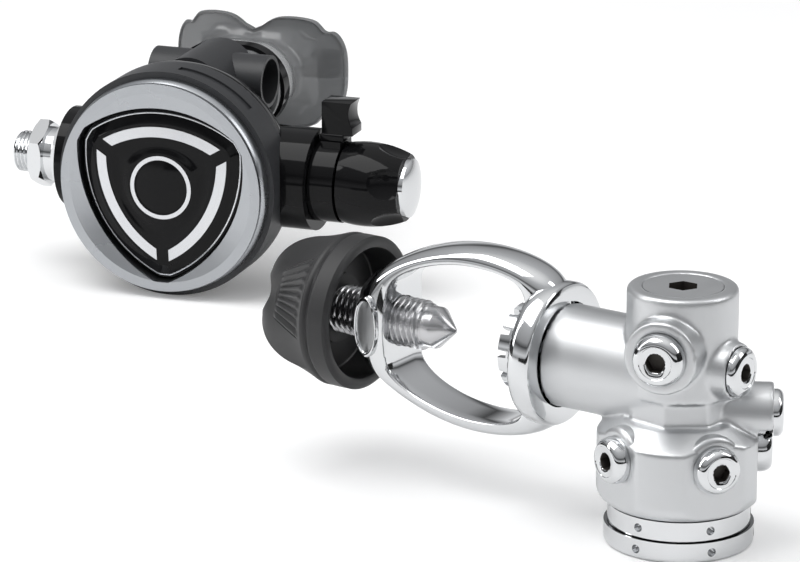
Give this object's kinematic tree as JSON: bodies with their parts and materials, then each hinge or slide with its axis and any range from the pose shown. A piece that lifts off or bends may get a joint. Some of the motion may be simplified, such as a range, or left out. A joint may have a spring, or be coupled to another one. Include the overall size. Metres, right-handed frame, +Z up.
{
  "type": "scuba regulator set",
  "caption": "Scuba regulator set: a yoke-clamp first stage in satin and polished chrome, and a second stage with silver cover ring, adjusting knob, airflow lever and mouthpiece.",
  "frame": {"origin": "centre of the bottom face of the first stage's end cap, on its body axis", "axes": "+Z up along the first stage's body, +X along the second stage's valve barrel from its hose thread to its knob, +Y from the second stage's cover towards its mouthpiece"},
  "size_m": [0.323, 0.2974, 0.0805],
  "materials": {
    "gloss_black": "gloss black moulded plastic",
    "satin_black": "satin dark grey moulded plastic",
    "satin_silver": "satin silver plating",
    "silver_trim": "bright satin silver trim",
    "chrome": "polished chrome plating on brass",
    "pearl_chrome": "bead-blasted satin chrome on brass",
    "steel": "stainless steel",
    "brass": "machined brass",
    "bronze": "sintered bronze",
    "inner_plastic": "pale engineering plastic",
    "silicone": "glossy smoke-grey silicone",
    "soft_black": "black silicone rubber",
    "knob_rubber": "matte black moulded rubber",
    "oring": "black nitrile rubber"
  },
  "bodies": {
    "root": {"housing": "satin_black", "cover_ring": "satin_silver", "purge_spring": "steel", "diaphragm_retainer": "steel", "diaphragm": "soft_black", "valve_barrel": "chrome", "inlet_fitting": "chrome", "inlet_locknut": "chrome", "inlet_oring": "oring", "valve_spring": "steel", "exhaust_tee": "satin_black", "exhaust_valve": "soft_black", "mouthpiece": "silicone", "mouthpiece_tie": "gloss_black", "regulator_body": "pearl_chrome", "turret_plug": "pearl_chrome", "diaphragm_clamp": "chrome", "end_cap": "chrome", "spring_adjuster": "brass", "main_spring": "steel", "main_diaphragm": "soft_black", "valve_crown": "steel", "high_spring": "steel", "yoke": "chrome", "yoke_retainer": "chrome", "inlet_filter": "bronze", "filter_clip": "steel", "tank_oring": "oring", "high_plugs": "chrome", "low_plugs": "chrome", "plug_orings": "oring"},
    "purge": {"purge_button": "gloss_black", "purge_inlays": "silver_trim"},
    "diaphragm_disc": {"diaphragm_plate": "steel"},
    "lever": {"demand_lever": "steel"},
    "valve": {"poppet": "inner_plastic"},
    "knob": {"adjusting_knob": "gloss_black", "knob_cap": "chrome", "knob_shaft": "chrome"},
    "seat": {"spring_seat": "brass"},
    "airflow_lever": {"venturi_lever": "gloss_black", "venturi_vane": "satin_black"},
    "clamp_screw": {"yoke_screw": "steel"},
    "clamp_knob": {"yoke_knob": "knob_rubber", "knob_insert": "brass"},
    "main_valve": {"high_poppet": "brass", "push_pin": "steel", "thrust_plate": "brass"}
  },
  "joints": [
    {"name": "purge_press", "type": "slide", "parent": "root", "child": "purge", "axis": [0, 1, 0], "range_m": [0, 0.002], "stiffness_N_per_m": 600, "springref_m": -0.002, "deforming": ["purge_spring", "diaphragm"]},
    {"name": "diaphragm_move", "type": "slide", "parent": "root", "child": "diaphragm_disc", "axis": [0, 1, 0], "range_m": [0, 0.0021]},
    {"name": "lever_swing", "type": "hinge", "parent": "root", "child": "lever", "pos_m": [-0.216, 0.186, 0.039], "axis": [0, 0, 1], "range_deg": [-8.6, 0]},
    {"name": "valve_open", "type": "slide", "parent": "root", "child": "valve", "axis": [1, 0, 0], "range_m": [0, 0.0012], "deforming": ["valve_spring"]},
    {"name": "knob_turn", "type": "hinge", "parent": "root", "child": "knob", "pos_m": [-0.23, 0.194, 0.039], "axis": [1, 0, 0], "range_deg": [0, 540]},
    {"name": "seat_advance", "type": "slide", "parent": "root", "child": "seat", "axis": [-1, 0, 0], "range_m": [0, 0.00151]},
    {"name": "airflow_turn", "type": "hinge", "parent": "root", "child": "airflow_lever", "pos_m": [-0.23, 0.194, 0.039], "axis": [1, 0, 0], "range_deg": [-45, 0]},
    {"name": "clamp_travel", "type": "slide", "parent": "root", "child": "clamp_screw", "axis": [0.9659, -0.2588, 0], "range_m": [-0.00801, 0.01001]},
    {"name": "clamp_turn", "type": "hinge", "parent": "clamp_screw", "child": "clamp_knob", "pos_m": [-0.12074, 0.03235, 0.0486], "axis": [0.9659, -0.2588, 0], "range_deg": [-1440, 1800]},
    {"name": "main_valve_lift", "type": "slide", "parent": "root", "child": "main_valve", "axis": [0, 0, 1], "range_m": [0, 0.0005], "stiffness_N_per_m": 20000, "springref_m": -0.0003, "deforming": ["high_spring", "main_spring", "main_diaphragm"]}
  ],
  "couplings": [
    {"joint": "diaphragm_move", "follows": "purge_press", "ratio": 1},
    {"joint": "lever_swing", "follows": "purge_press", "rad_per_m": -71.429},
    {"joint": "valve_open", "follows": "purge_press", "ratio": 0.57},
    {"joint": "seat_advance", "follows": "knob_turn", "m_per_rad": 0.00015915},
    {"joint": "clamp_travel", "follows": "clamp_turn", "m_per_rad": 0.00031831}
  ]
}
